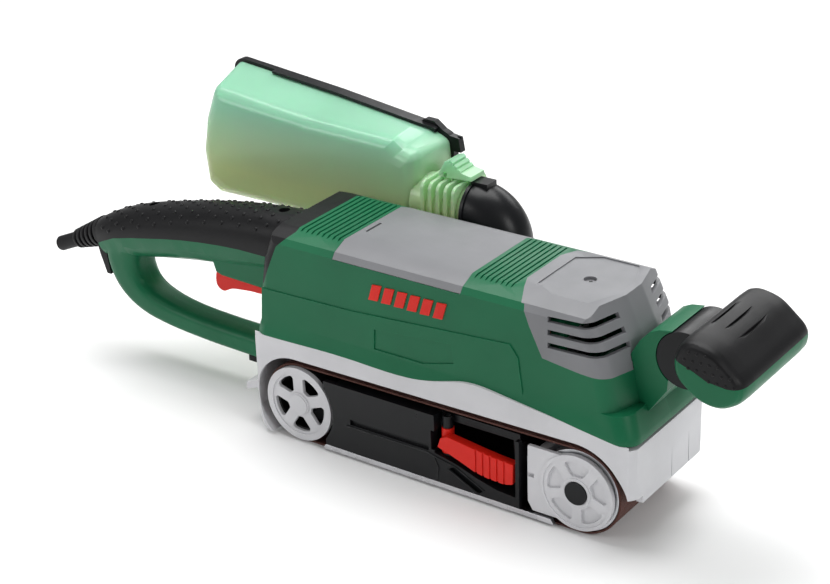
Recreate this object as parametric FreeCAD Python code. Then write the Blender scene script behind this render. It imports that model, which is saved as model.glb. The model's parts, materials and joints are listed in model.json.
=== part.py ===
"""Handheld belt sander, 75 mm belt, in millimetres.

+X runs forward to the front knob, +Y to the drive side, +Z up. The origin is the centre of
the sanding face, on the surface that the sander stands on.
"""

import FreeCAD, Part
import math
import os

V = FreeCAD.Vector

# ---------------------------------------------------------------- driving dimensions
BELT_WIDTH = 75.0
BELT_LENGTH = 533.0
BELT_THICK = 1.2
REAR_BELT_R = 24.7            # outer radius of the sanding belt round the drive roller
FRONT_BELT_R = 25.6           # the same round the front roller
RUNNING_GAP = 0.3             # between a turning face and a fixed face beside it
SHAFT_GAP = 0.05              # radial clearance of a shaft in its bearing

SIDE_Y = 39.0                 # half width of the upper housing
SKIRT_Y = 42.0                # half width of the skirt and the belt shroud
TOP_Z = 131.5
CROWN_Y = 27.0                # half width of the flat top
WALL = 2.5
DECK_Z = 58.0                 # underside of the deck over the belt
DECK_THICK = 2.0

MOTOR_X = 44.0
MOTOR_Z = 88.0
STATOR_R = 27.0
ARMATURE_R = 15.5
PINION_TEETH = 10
PULLEY_TEETH = 36
TOOTH_PITCH = 3.0
DRIVE_Y0 = 45.5               # near face of the toothed belt and its pulleys
DRIVE_Y1 = 54.5
COVER_Y = 57.0                # outer face of the transmission cover

OUTLET_X = -16.0
OUTLET_Y = 61.0
SPIGOT_Z = 124.5              # axis of the elbow's level limb and of the dust box's neck
STUB_R = 12.8
ELBOW_R = 17.2
NECK_X = -36.0                # front end of the dust box's neck

BOX_Y0 = 46.0                 # inner side wall of the dust box
BOX_Y1 = 84.0                 # plane where its lid closes
LID_DEPTH = 5.0

BARREL_X = 143.3              # axis on which the front knob tilts
BARREL_Z = 108.0
BARREL_R = 16.0
BARREL_HALF = 18.0

AXLE_R = 4.0
DRIVE_SHAFT_R = 5.0
CARRIAGE_TRAVEL = 4.5

# ---------------------------------------------------------------- places worked out from them
REAR_ROLLER_R = REAR_BELT_R - BELT_THICK - RUNNING_GAP
FRONT_ROLLER_R = FRONT_BELT_R - BELT_THICK - RUNNING_GAP
ROLLER_SPAN = (BELT_LENGTH - math.pi * (REAR_BELT_R + FRONT_BELT_R)) / 2.0
REAR_X = -ROLLER_SPAN / 2.0
FRONT_X = ROLLER_SPAN / 2.0
REAR_Z = REAR_BELT_R
FRONT_Z = FRONT_BELT_R
BELT_HALF = BELT_WIDTH / 2.0
PINION_R = PINION_TEETH * TOOTH_PITCH / (2.0 * math.pi)
PULLEY_R = PULLEY_TEETH * TOOTH_PITCH / (2.0 * math.pi)
FAR = 200.0                   # larger than any half width or height, for cutting tools


# ---------------------------------------------------------------- shape helpers
def box(x0, x1, y0, y1, z0, z1):
    return Part.makeBox(x1 - x0, y1 - y0, z1 - z0, V(x0, y0, z0))


def rod_x(y, z, radius, x0, x1):
    return Part.makeCylinder(radius, x1 - x0, V(x0, y, z), V(1, 0, 0))


def rod_y(x, z, radius, y0, y1):
    return Part.makeCylinder(radius, y1 - y0, V(x, y0, z), V(0, 1, 0))


def rod_z(x, y, radius, z0, z1):
    return Part.makeCylinder(radius, z1 - z0, V(x, y, z0), V(0, 0, 1))


def tube_y(x, z, outer, inner, y0, y1):
    return rod_y(x, z, outer, y0, y1).cut(rod_y(x, z, inner, y0 - 1, y1 + 1))


def tube_z(x, y, outer, inner, z0, z1):
    return rod_z(x, y, outer, z0, z1).cut(rod_z(x, y, inner, z0 - 1, z1 + 1))


def polygon(points):
    return Part.Face(Part.makePolygon(points + [points[0]]))


def prism_y(outline, y0, y1):
    """An outline of (x, z) points, extruded along Y."""
    return polygon([V(x, y0, z) for x, z in outline]).extrude(V(0, y1 - y0, 0))


def prism_x(outline, x0, x1):
    """An outline of (y, z) points, extruded along X."""
    return polygon([V(x0, y, z) for y, z in outline]).extrude(V(x1 - x0, 0, 0))


def prism_z(outline, z0, z1):
    """An outline of (x, y) points, extruded along Z."""
    return polygon([V(x, y, z0) for x, y in outline]).extrude(V(0, 0, z1 - z0))


def closed_curve(points):
    """One smooth closed wire through the points."""
    curve = Part.BSplineCurve()
    curve.interpolate(Points=points, PeriodicFlag=True)
    return Part.Wire(curve.toShape())


def curved_prism_y(outline, y0, y1):
    wire = closed_curve([V(x, y0, z) for x, z in outline])
    return Part.Face(wire).extrude(V(0, y1 - y0, 0))


def rounded_wire(corners, place):
    """A closed wire through corners of (a, b, radius), each rounded, set out by place(a, b)."""
    count = len(corners)
    arcs = []
    for i in range(count):
        a, b, radius = corners[i]
        back = V(corners[i - 1][0] - a, corners[i - 1][1] - b, 0)
        ahead = V(corners[(i + 1) % count][0] - a, corners[(i + 1) % count][1] - b, 0)
        half_angle = back.getAngle(ahead) / 2
        back.normalize()
        ahead.normalize()
        reach = radius / math.tan(half_angle)
        middle = (back + ahead)
        middle.normalize()
        corner = V(a, b, 0)
        dip = radius / math.sin(half_angle) - radius
        arcs.append((corner + back * reach, corner + middle * dip, corner + ahead * reach))
    edges = []
    for i in range(count):
        start, middle, end = [place(p.x, p.y) for p in arcs[i]]
        edges.append(Part.Arc(start, middle, end).toShape())
        follow = arcs[(i + 1) % count][0]
        edges.append(Part.LineSegment(end, place(follow.x, follow.y)).toShape())
    return Part.Wire(edges)


def at_height(z):
    return lambda a, b: V(a, b, z)


def at_depth(y):
    return lambda a, b: V(a, y, b)


def rounded_plan(x0, x1, half_y, radius, z):
    """A rectangle with round corners, as a wire at height z."""
    corners = [(x0, -half_y, radius), (x1, -half_y, radius), (x1, half_y, radius), (x0, half_y, radius)]
    return rounded_wire(corners, at_height(z))


def around_two(circle_a, circle_b, y0, y1):
    """The outline of a belt round two circles (x, z, r), extruded along Y."""
    (ax, az, ar), (bx, bz, br) = circle_a, circle_b
    along = math.atan2(bz - az, bx - ax)
    turn = math.acos((ar - br) / math.hypot(bx - ax, bz - az))

    def at(circle, angle):
        x, z, r = circle
        return V(x + r * math.cos(angle), y0, z + r * math.sin(angle))

    a_top, b_top = at(circle_a, along + turn), at(circle_b, along + turn)
    a_low, b_low = at(circle_a, along - turn), at(circle_b, along - turn)
    edges = [
        Part.LineSegment(a_top, b_top).toShape(),
        Part.Arc(b_top, at(circle_b, along), b_low).toShape(),
        Part.LineSegment(b_low, a_low).toShape(),
        Part.Arc(a_low, at(circle_a, along + math.pi), a_top).toShape(),
    ]
    return Part.Face(Part.Wire(edges)).extrude(V(0, y1 - y0, 0))


def fused(shapes):
    whole = shapes[0]
    for shape in shapes[1:]:
        whole = whole.fuse(shape)
    return whole.removeSplitter()


def cut_all(shape, tools):
    for tool in tools:
        shape = shape.cut(tool)
    return shape


def mirrored(shape):
    return shape.mirror(V(0, 0, 0), V(0, 1, 0))


def both_sides(shape):
    return [shape, mirrored(shape)]


def soft_edges(shape, radius, wanted):
    """Round the edges for which wanted(edge) is true."""
    return shape.makeFillet(radius, [e for e in shape.Edges if wanted(e)])


def oval_wire(centre, direction, half_height, half_width, power):
    """An oval across a direction in the XZ plane; the higher the power, the squarer it is."""
    across = V(-direction.z, 0, direction.x)
    steps = 16
    points = []
    for i in range(steps):
        angle = 2 * math.pi * i / steps
        up, side = math.cos(angle), math.sin(angle)
        up = math.copysign(abs(up) ** (2 / power), up)
        side = math.copysign(abs(side) ** (2 / power), side)
        points.append(centre + across * (half_height * up) + V(0, half_width * side, 0))
    return closed_curve(points)


def bar_along(stations, shrink, count, power):
    """An oval bar through stations of (x, z, half height, half width), evenly sectioned."""
    path = Part.BSplineCurve()
    path.interpolate(Points=[V(x, 0, z) for x, z, h, w in stations])
    knots = [path.parameter(V(x, 0, z)) for x, z, h, w in stations]
    wires = []
    for i in range(count):
        share = knots[0] + (knots[-1] - knots[0]) * i / (count - 1)
        k = max(j for j in range(len(knots)) if knots[j] <= share + 1e-9)
        k = min(k, len(knots) - 2)
        blend = (share - knots[k]) / (knots[k + 1] - knots[k])
        half_height = stations[k][2] * (1 - blend) + stations[k + 1][2] * blend - shrink
        half_width = stations[k][3] * (1 - blend) + stations[k + 1][3] * blend - shrink
        direction = path.tangent(share)[0]
        wires.append(oval_wire(path.value(share), direction, half_height, half_width, power))
    return loft(wires)


def loft(wires):
    return Part.makeLoft(wires, True, False)


def biggest_solid(shape):
    return max(shape.Solids, key=lambda s: s.Volume)


# ---------------------------------------------------------------- main housing
LEVELS = [  # height, rear face, front face
    (DECK_Z - 2, -124.0, 121.6), (76.0, -121.7, 121.0), (94.0, -119.8, 117.5),
    (111.0, -117.0, 113.5), (TOP_Z + 1, -108.5, 103.2)]
SWEEP = math.tan(math.radians(15.0))   # how far the front's side facets fall back per width


def plan_at(level, inset):
    """The housing's outline in plan at one of the levels, pulled in by inset."""
    z, rear, front = level
    half = SIDE_Y - inset
    rear, front = rear + inset, front - inset
    corner_x = front - (half - 8.0) * SWEEP
    soft = max(3.0, 10.0 - inset)
    corners = [(rear, -half, 7.0), (corner_x, -half, soft), (front, -8.0, soft), (front, 8.0, soft),
               (corner_x, half, soft), (rear, half, 7.0)]
    return rounded_wire(corners, at_height(z))


def envelope(inset):
    """The closed outer form of the upper housing, pulled in by inset all round."""
    side = SIDE_Y - inset
    top = TOP_Z - inset
    crown = CROWN_Y - inset * 0.4
    body = Part.makeLoft([plan_at(level, inset) for level in LEVELS], True, True)
    shoulder = [(-side, DECK_Z - 3), (-side, 124.0 - inset), (-side + 2.5, 127.3 - inset),
                (-crown, top), (crown, top), (side - 2.5, 127.3 - inset), (side, 124.0 - inset),
                (side, DECK_Z - 3)]
    return body.common(prism_x(shoulder, -130, 145))


def skirt_block(inset, z_low):
    """The wider foot of the housing, which flares out under the upper walls."""
    half = SKIRT_Y - inset
    low = rounded_plan(-124.5 + inset, 127.0 - inset, half, 11.0 - inset, 66.0)
    high = rounded_plan(-122.5 + inset, 122.0 - inset, SIDE_Y - inset, 11.0 - inset, 77.0)
    flare = Part.makeLoft([low, high], True, True)
    straight = Part.Face(low).extrude(V(0, 0, z_low - 66.0))
    return flare.fuse(straight)


def below_seam(y0, y1):
    """Everything below the seam between the housing and the belt shroud."""
    seam = [V(-140, y0, 64.4), V(-100, y0, 65.1), V(-53, y0, 65.9), V(-6, y0, 66.2),
            V(8, y0, 69.0), V(24, y0, 72.6), V(47, y0, 71.6), V(84, y0, 67.4),
            V(108, y0, 64.0), V(150, y0, 59.5)]
    curve = Part.BSplineCurve()
    curve.interpolate(Points=seam)
    edges = [curve.toShape()]
    corners = [seam[-1], V(150, y0, -20), V(-140, y0, -20), seam[0]]
    for start, end in zip(corners, corners[1:]):
        edges.append(Part.LineSegment(start, end).toShape())
    return Part.Face(Part.Wire(edges)).extrude(V(0, y1 - y0, 0))


SOFT_COLLAR = [(-96, 145), (-96, 130.0), (-104.5, 122.0), (-116.2, 96), (-140, 92), (-140, 145)]
TOP_PLATE_X = (-64.5, 21.0)
COVER_SIDE = [(49, 145), (49, 127.6), (59.6, 127.0), (63.8, 116), (71.7, 99.5), (83, 98),
              (95, 96.6), (108, 96.0), (140, 93), (140, 145)]
COVER_PLAN = [(49, -17), (49, 17), (59.6, 41), (140, 41), (140, -41), (59.6, -41)]
HOUSING_SCREWS = [(-104, 108), (-104, 78), (-44, 112), (-44, 76), (88, 86), (14, 118)]


def cover_zone():
    return prism_y(COVER_SIDE, -60, 60).common(prism_z(COVER_PLAN, 50, 150))


def plate_zone():
    x0, x1 = TOP_PLATE_X
    outline = [(-45, 123.6), (-SIDE_Y + 2.2, 123.6), (-CROWN_Y - 1, 128.4), (CROWN_Y + 1, 128.4),
               (SIDE_Y - 2.2, 123.6), (45, 123.6), (45, 150), (-45, 150)]
    return prism_x(outline, x0, x1)


def shell():
    """The green housing as one hollow shell, open towards the belt."""
    outer = envelope(0.0).fuse(skirt_block(0.0, DECK_Z)).cut(below_seam(-60, 60))
    side_panel = prism_y([(-119, 60), (-116.5, 93.6), (-52, 95.2), (10, 99.6), (52, 102.5),
                          (57, 96), (62, 60)], -SIDE_Y - 0.7, SIDE_Y + 0.7)
    outer = outer.fuse(side_panel.cut(below_seam(-60, 60)))
    hollow = envelope(WALL).common(box(-130, 130, -60, 60, DECK_Z - 2, TOP_Z))
    hollow = hollow.fuse(skirt_block(WALL, DECK_Z - 2).common(box(-130, 130, -60, 60, 40, 67)))
    return outer.cut(hollow)


def top_ribs(x0, pitch, count):
    """Grooves across the top that leave a field of ribs between them."""
    half_y = 31.0
    tools = []
    for i in range(count):
        x = x0 + pitch * i
        tools.append(prism_y([(x, TOP_Z + 1), (x + 0.5, TOP_Z - 1.3), (x + pitch * 0.5 - 0.5, TOP_Z - 1.3),
                              (x + pitch * 0.5, TOP_Z + 1)], -half_y, half_y))
    return tools


GRIP = [  # centre x, centre z, half height, half width
    (-108, 106.5, 20.0, 19.0), (-150, 103.5, 19.6, 18.0), (-181, 99.5, 18.5, 17.5),
    (-213, 93.5, 17.4, 17.0), (-243, 86.5, 16.4, 16.0), (-261, 81.0, 14.6, 14.6),
    (-273, 76.6, 12.6, 12.6)]
LOOP = [
    (-248, 94, 13.0, 13.0), (-254, 82, 14.0, 13.0), (-257, 69, 13.4, 12.6),
    (-254, 55.5, 11.6, 12.0), (-246, 45.5, 9.8, 11.4), (-232, 39.0, 8.4, 11.0),
    (-208, 34.8, 7.6, 10.6), (-170, 32.8, 7.6, 10.6), (-128.2, 31.2, 7.6, 10.6)]
CORD_AXIS = (-0.9157, 0.0, -0.4019)   # direction in which the cord leaves the handle
CORD_START = V(-263.0, 0, 84.4)


def grip_solid(shrink):
    return bar_along(GRIP, shrink, 9, 2.3)


def loop_solid():
    return bar_along(LOOP, 0.0, 15, 3.4)


def above_grip_line():
    """The region above the seam along the middle of the grip."""
    seam = [(-290, 66), (-268, 78), (-257, 83), (-240, 87.5), (-215, 93), (-198, 96.2),
            (-182, 98.4), (-166, 100.2), (-151, 101.2), (-126, 101.6), (-100, 101.6)]
    return prism_y(seam + [(-100, 160), (-290, 160)], -60, 60)


def rear_strip():
    """Black strip down the back of the handle, under the cord's way out."""
    outline = [(-271.0, 84), (-277.4, 84), (-278.2, 80), (-274.6, 66), (-270.4, 54), (-267.2, 54),
               (-269.0, 66), (-270.5, 80)]
    return prism_y(outline, -9.5, 9.5)


def cord_rod(radius, start, end):
    direction = V(*CORD_AXIS)
    return Part.makeCylinder(radius, end - start, CORD_START + direction * start, direction)


def cord_way():
    """The room that the cord's sleeve takes in the handle."""
    return fused([cord_rod(6.2, -12, 40), cord_rod(7.4, -6, -1), cord_rod(10.6, 12.5, 60)])


def grip_shell():
    """The hollow grip with the cord's way out at its rear end."""
    inner = grip_solid(WALL).common(box(-262, -100, -60, 60, 0, 200))
    return grip_solid(0.0).cut(inner).cut(cord_way())


LOCK_X, LOCK_Z = -193.0, 91.0
TRIGGER_SLOT = (-181.0, -138.6, 8.2)


def handle_lower():
    """The green lower half of the grip, the trigger's guard and the closed loop under it."""
    green = grip_shell().cut(above_grip_line())
    hollow = grip_solid(WALL).common(box(-262, -100, -60, 60, 0, 200))
    guard = prism_y([(-179.4, 88), (-176.2, 78.4), (-172, 76.8), (-118, 75.2), (-118, 92), (-179.4, 92)],
                    -12.6, 12.6)
    guard = soft_edges(guard, 2.5, lambda e: abs(e.CenterOfMass.y) > 12 and e.CenterOfMass.z < 84)
    lower = loop_solid().fuse(guard)
    lower = lower.cut(hollow).cut(above_grip_line()).cut(cord_way())
    whole = green.fuse(lower).cut(rear_strip())
    x0, x1, half = TRIGGER_SLOT
    whole = whole.cut(box(x0, x1, -half, half, 60, 110)).cut(rod_y(LOCK_X, LOCK_Z, 4.3, 5, 40))
    return whole.common(box(-400, -116, -60, 60, 0, 200))


def motor_supports():
    """Ribs that hold the stator, bearing seats, and the bridge for the cover screw."""
    inner = SIDE_Y - WALL + 0.1
    solids = []
    for x in (MOTOR_X - STATOR_R + 2, MOTOR_X + STATOR_R - 6):
        solids.append(box(x, x + 4, 6, inner, DECK_Z + DECK_THICK, 100))
        solids.append(box(x, x + 4, -inner, -6, DECK_Z + DECK_THICK, 100))
    solids.append(rod_y(MOTOR_X, MOTOR_Z, 13.5, 29.5, inner))
    solids.append(rod_y(MOTOR_X, MOTOR_Z, 12.0, -inner, -31.0))
    solids.append(box(73.5, 81.5, -33, 33, 112, 121))
    for solid in (box(73.5, 81.5, 30, 33, 84, 121), box(73.5, 81.5, 33, inner, 84, 94)):
        solids.extend(both_sides(solid))
    return solids


def housing_halves():
    body = shell()
    body = cut_all(body, [cover_zone(), plate_zone()])
    body = cut_all(body, top_ribs(-94.0, 3.7, 8) + top_ribs(23.4, 3.25, 8))
    body = body.cut(prism_y([(-37, 88), (15, 92.6), (16, 81), (-4, 75.5), (-37.6, 75.5)],
                            -60, -SIDE_Y + 0.1))
    collar = prism_y(SOFT_COLLAR, -60, 60)
    body = body.cut(collar)
    window = grip_solid(WALL).common(box(-130, -100, -60, 60, 0, 200))
    body = body.cut(window)
    inner = envelope(WALL)
    supports = [s.common(inner) for s in motor_supports()]
    bosses = []
    for x, z in HOUSING_SCREWS:
        bosses.append(rod_y(x, z, 4.2, -SIDE_Y + 1, SIDE_Y - 1).common(inner))
    body = fused([body] + supports + bosses)
    body = body.cut(rod_y(MOTOR_X, MOTOR_Z, STATOR_R, -22.0, 29.5))
    body = body.cut(rod_y(MOTOR_X, MOTOR_Z, 9.5, -36.4, 20))
    body = body.cut(rod_y(MOTOR_X, MOTOR_Z, 11.0, 20, 36.6))
    body = body.cut(rod_y(MOTOR_X, MOTOR_Z, 6.0, 20, 60))
    for x, z in HOUSING_SCREWS:
        body = body.cut(rod_y(x, z, 1.9, -12, 60)).cut(rod_y(x, z, 3.9, 32, 60))
    body = body.cut(rod_z(77.5, 0, 1.7, 108, 125))
    body = body.cut(box(OUTLET_X - 12, OUTLET_X + 12, 30, 60, 87.5, 96.5))
    body = body.cut(box(OUTLET_X - 15.2, OUTLET_X + 15.2, SIDE_Y, 60, 84.8, 99.2))
    body = body.cut(box(MOTOR_X - 26, MOTOR_X + 26, -29.2, -19.8, MOTOR_Z - 5.5, MOTOR_Z + 5.5))
    handle = handle_lower().cut(envelope(0.0))
    left_side = box(-400, 400, -100, 0, -10, 200)
    right_side = box(-400, 400, 0, 100, -10, 200)
    left = body.common(left_side).fuse(handle.common(left_side))
    right = body.common(right_side).fuse(handle.common(right_side)).fuse(transmission_rim())
    for x, z in COVER_SCREWS:
        right = right.cut(rod_y(x, z, 1.9, 30, 60))
    return biggest_solid(left), biggest_solid(right)


def softgrip():
    """The black upper cover of the grip and its collar on the housing."""
    collar_space = prism_y(SOFT_COLLAR, -60, 60)
    collar = envelope(0.0).cut(envelope(WALL)).common(collar_space)
    upper = grip_shell().common(above_grip_line())
    upper = upper.common(box(-400, -112, -60, 60, 0, 200))
    whole = fused([collar, upper, rear_strip().cut(cord_way())])
    whole = whole.cut(grip_solid(WALL).common(box(-262, -100, -60, 60, 0, 200)))
    for x, z in ((-129, 128), (-233, 108)):
        whole = whole.cut(rod_z(x, 0, 3.4, z - 9, z + 12))
    return biggest_solid(whole)


def top_screws():
    """The two screws of the grip cover and the one of the front cover."""
    screws = []
    for x, z in ((-129, 118.2), (-233, 98.2), (77.5, 127.0)):
        screws.append(rod_z(x, 0, 3.2, z, z + 2.2).fuse(rod_z(x, 0, 1.6, z - 15, z)))
    return Part.makeCompound(screws)


def top_plate():
    skin = envelope(0.0).cut(envelope(WALL)).common(plate_zone())
    slot = box(-61, -59.5, -12, 2, TOP_Z - 2, TOP_Z + 1)
    return biggest_solid(skin.cut(slot))


def front_cover():
    skin = envelope(0.0).cut(envelope(WALL)).common(cover_zone())
    skin = skin.cut(bracket_solid(0.2))
    panel = prism_z([(57, -19), (57, 19), (70, 27), (92, 27), (100, 8), (100, -8), (92, -27),
                     (70, -27)], TOP_Z - 0.7, TOP_Z + 1)
    skin = skin.cut(panel)
    for z in (121.3, 113.8, 106.3):
        slot = prism_y([(75, z), (125, z + 1.6), (125, z + 5.0), (75, z + 3.2)], -60, -17)
        skin = cut_all(skin, both_sides(slot))
    boss = rod_z(77.5, 0, 5.0, 121.2, TOP_Z - 1).cut(rod_z(77.5, 0, 1.9, 110, 140))
    skin = skin.fuse(boss).cut(rod_z(77.5, 0, 3.6, 127.0, 140))
    return biggest_solid(skin)


def housing_screws():
    screws = []
    for x, z in HOUSING_SCREWS:
        screws.append(rod_y(x, z, 3.5, 32.0, 34.4).fuse(rod_y(x, z, 1.8, -11, 32)))
    return Part.makeCompound(screws)


def side_accent():
    """Plain trim on the side: a run of slanted bars."""
    bars = []
    for i in range(6):
        x = -40.0 + 8.6 * i
        bars.append(prism_y([(x, 105.6), (x + 6.2, 106.0), (x + 9.2, 115.6), (x + 3.0, 115.2)],
                            -SIDE_Y - 0.8, -SIDE_Y))
    return Part.makeCompound(bars)


# ---------------------------------------------------------------- belt shroud and frame
def belt_space(margin, y0, y1):
    return around_two((REAR_X, REAR_Z, REAR_BELT_R + margin), (FRONT_X, FRONT_Z, FRONT_BELT_R + margin),
                      y0, y1)


def belt_shroud():
    """The light skirt round the belt, with its deck, its closed drive side and rear lip."""
    outline = [(-124.5, 80), (-126.2, 44), (-127.6, 24), (-127.4, 15), (-121, 6.6), (-116, 2.2),
               (-111, 1.6), (-106, 2.0), (-96, 4.0), (-96, 20), (96, 20), (118, 24.6),
               (128.2, 25.6), (127.6, 45), (127.0, 80)]
    block = prism_y(outline, -SKIRT_Y, SKIRT_Y)
    block = block.common(Part.Face(rounded_plan(-128, 128.4, SKIRT_Y, 11.0, 0)).extrude(V(0, 0, 90)))
    block = block.common(below_seam(-60, 60))
    inside = box(-124.2, 124.2, -SKIRT_Y + WALL, SKIRT_Y - WALL, -5, DECK_Z)
    inside = inside.cut(prism_y([(-140, -10), (-140, 60), (-122.8, 60), (-124.8, 26), (-124.6, 16),
                                 (-119.5, 9), (-112, 3.6), (-112, -10)], -60, 60))
    above = box(-130, 130, -SKIRT_Y + WALL, SKIRT_Y - WALL, DECK_Z + DECK_THICK, 100)
    block = cut_all(block, [inside, above])
    opening = belt_space(5.2, -60, -30).common(box(-FAR, FAR, -60, -30, -FAR, FAR))
    below = box(-96, 150, -60, -30, -20, 30)
    block = cut_all(block, [opening, below])
    lip = prism_y([(-126.5, 31), (-131, 26.8), (-138.2, 24.6), (-138.6, 19.6), (-136, 20.4),
                   (-130.4, 22.4), (-126.8, 18)], -34, 34)
    block = block.fuse(lip)
    far_wall = around_two((REAR_X, REAR_Z, 22.2), (FRONT_X - 8, FRONT_Z, 22.6), SKIRT_Y - WALL, SKIRT_Y)
    block = block.fuse(far_wall)
    block = block.cut(rod_y(REAR_X, REAR_Z, 9.0, 30, 60))
    block = block.cut(transmission_block(0.0, SKIRT_Y - WALL - 1, SKIRT_Y + 1)
                      .common(box(-FAR, FAR, 0, FAR, DECK_Z + 3, FAR)))
    slot = box(FRONT_X - 7, FRONT_X + 9, 30, 60, FRONT_Z - 5, FRONT_Z + 5)
    screw_holes = [rod_y(x, z, 1.9, 30, 60) for x, z in COVER_SCREWS]
    crease = box(127.6, 130, 1.0, 1.9, 20, 66).fuse(box(127.6, 130, 20.0, 20.9, 20, 60))
    return biggest_solid(cut_all(block, [slot, crease, loop_solid()] + screw_holes))


def belt_frame():
    """The black frame inside the belt, which carries the sole, the lever and the carriage."""
    core = box(-67, 54, -38, SKIRT_Y - WALL, 4.6, 45.5)
    face = box(-74, 58.3, -41.3, -38, 4.6, 46.0)
    frame = core.fuse(face)
    frame = frame.cut(rod_y(REAR_X, REAR_Z, 25.6, -60, 60))
    frame = frame.cut(box(-60, 50, -34, 45, 9, 41))
    window = [(2.8, 48), (3.2, 27), (2.8, 22.6), (18, 19.4), (32, 14.6), (44, 11.6), (56, 10.8), (56, 48)]
    frame = frame.cut(prism_y(window, -60, -33))
    frame = frame.cut(box(-55.6, -1.0, -60, -39.4, 22.8, 26.3))
    frame = frame.cut(prism_y([(12.5, 15.6), (16, 17.4), (35.0, 8.0), (33.0, 6.0), (29, 6.2)], -60, -39.4))
    for y in (-20.0, 20.0):
        frame = frame.cut(rod_x(y, 25.0, 3.0 + RUNNING_GAP, 40, 70))
    frame = frame.cut(rod_x(0.0, 25.0, 7.5, 40, 70))
    floor = box(3, 56, -34.5, -30, 9, 41)
    frame = frame.fuse(floor.cut(box(4.6, 54, -34.5, -20, 10, 48)))
    frame = frame.cut(box(0.6, 5.4, -60, -32.4, 24.2, 36.2))
    frame = frame.fuse(rod_z(8.2, -35.2, 3.2, 4.6, 22.2)).fuse(rod_z(8.2, -35.2, 3.2, 38.4, 45.5))
    frame = frame.cut(rod_z(8.2, -35.2, 1.6, 6, 60))
    return biggest_solid(frame)


def sole_plate():
    """Steel glide plate with its near edge turned down beside the belt."""
    flat = box(-66, 66, -41.0, 37.0, 3.3, 4.5)
    lip = prism_y([(-76.5, 1.4), (80, 1.4), (78, 4.5), (-74.5, 4.5)], -41.3, -38.3)
    return flat.fuse(lip).removeSplitter()


def sole_pad():
    return box(-66, 66, -37.0, 37.0, 1.3, 3.3)


def sanding_belt():
    outer = belt_space(0.0, -BELT_HALF, BELT_HALF)
    return outer.cut(belt_space(-BELT_THICK, -BELT_HALF - 1, BELT_HALF + 1))


def tension_lever():
    """Red lever that swings out of the frame's window about an upright pin."""
    outline = [(5.2, 27.2), (7.2, 33.2), (11.6, 35.2), (22, 34.0), (33.3, 32.5), (44, 31.4),
               (54.6, 30.8), (54.2, 18.6), (49, 17.0), (38, 17.4), (29.7, 18.8), (20, 22.4), (11.3, 25.4)]
    blade = prism_y(outline, -41.6, -36.0)
    hub = rod_z(8.2, -35.2, 3.6, 22.6, 38.0)
    lever = blade.fuse(hub)
    for i in range(5):
        x = 30.0 + 4.6 * i
        lever = lever.cut(box(x, x + 1.3, -42, -40.9, 15, 34))
    return biggest_solid(lever.cut(rod_z(8.2, -35.2, 1.6 + SHAFT_GAP, 0, 60)))


def lever_pin():
    return rod_z(8.2, -35.2, 1.6, 6.4, 44.5)


def carriage():
    """Fork with the light front plate, which slides back to slacken the belt."""
    x_left, top, low = 63.3, 45.6, 6.0
    radius = 22.4
    plate = box(x_left, FRONT_X, -40.3, -38.1, low, top)
    plate = plate.common(prism_y([(x_left, 11), (x_left + 3.6, low - 1), (FRONT_X, FRONT_Z - radius - 1),
                                  (FRONT_X, 60), (x_left + 2, 60), (x_left, 44)], -60, 0))
    plate = plate.fuse(rod_y(FRONT_X, FRONT_Z, radius, -40.3, -38.1))
    plate = plate.cut(box(x_left - 1, x_left + 4, -60, 0, 26.4, 29.0))
    plate = plate.fuse(tube_y(FRONT_X, FRONT_Z, radius, radius - 1.8, -40.9, -40.3))
    plate = plate.fuse(tube_y(FRONT_X, FRONT_Z, 8.6, 7.0, -40.9, -40.3))
    for i in range(5):
        plate = plate.cut(spoke_window((FRONT_X, FRONT_Z), 9.6, 18.4, 18 + 72 * i, 2.8, -42, -38.7))
    far_arm = box(62, FRONT_X, 38.0, 39.3, 14, 37).fuse(rod_y(FRONT_X, FRONT_Z, 11.5, 38.0, 39.3))
    beam = box(61.5, 67, -37.7, 38.0, 14, 37).fuse(box(63.6, 67, -38.1, -37.0, 14, 37))
    rods = [rod_x(y, 25.0, 3.0, 44, 62) for y in (-20.0, 20.0)]
    whole = fused([plate, far_arm, beam] + rods)
    whole = whole.cut(rod_y(FRONT_X, FRONT_Z, AXLE_R, -60, 60))
    return biggest_solid(whole)


def front_axle():
    """Fixed axle of the front roller, with a broad flat head on the near side."""
    return rod_y(FRONT_X, FRONT_Z, AXLE_R, -40.3, 39.3).fuse(rod_y(FRONT_X, FRONT_Z, 6.7, -41.6, -40.3))


def front_roller():
    drum = tube_y(FRONT_X, FRONT_Z, FRONT_ROLLER_R, 20.6, -37.2, 37.2)
    ends = []
    for y0 in (-37.2, 31.2):
        ends.append(tube_y(FRONT_X, FRONT_Z, 20.6, 9.5, y0, y0 + 6))
    return fused([drum] + ends)


def front_bearings():
    rings = [tube_y(FRONT_X, FRONT_Z, 9.5, AXLE_R + SHAFT_GAP, y0, y0 + 6) for y0 in (-37.2, 31.2)]
    return Part.makeCompound(rings)


def tension_spring():
    """Compression spring between the frame and the carriage beam, as one helical wire."""
    wire_r, coil_r, length = 0.9, 5.0, 16.0
    helix = Part.makeHelix(4.0, length, coil_r)
    profile = Part.Wire(Part.makeCircle(wire_r, V(coil_r, 0, 0), V(0, 1, 0)))
    coil = helix.makePipeShell([profile], True, True)
    coil.rotate(V(0, 0, 0), V(0, 1, 0), 90)
    coil.translate(V(44.6, 0, 25.0))
    return coil


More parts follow.
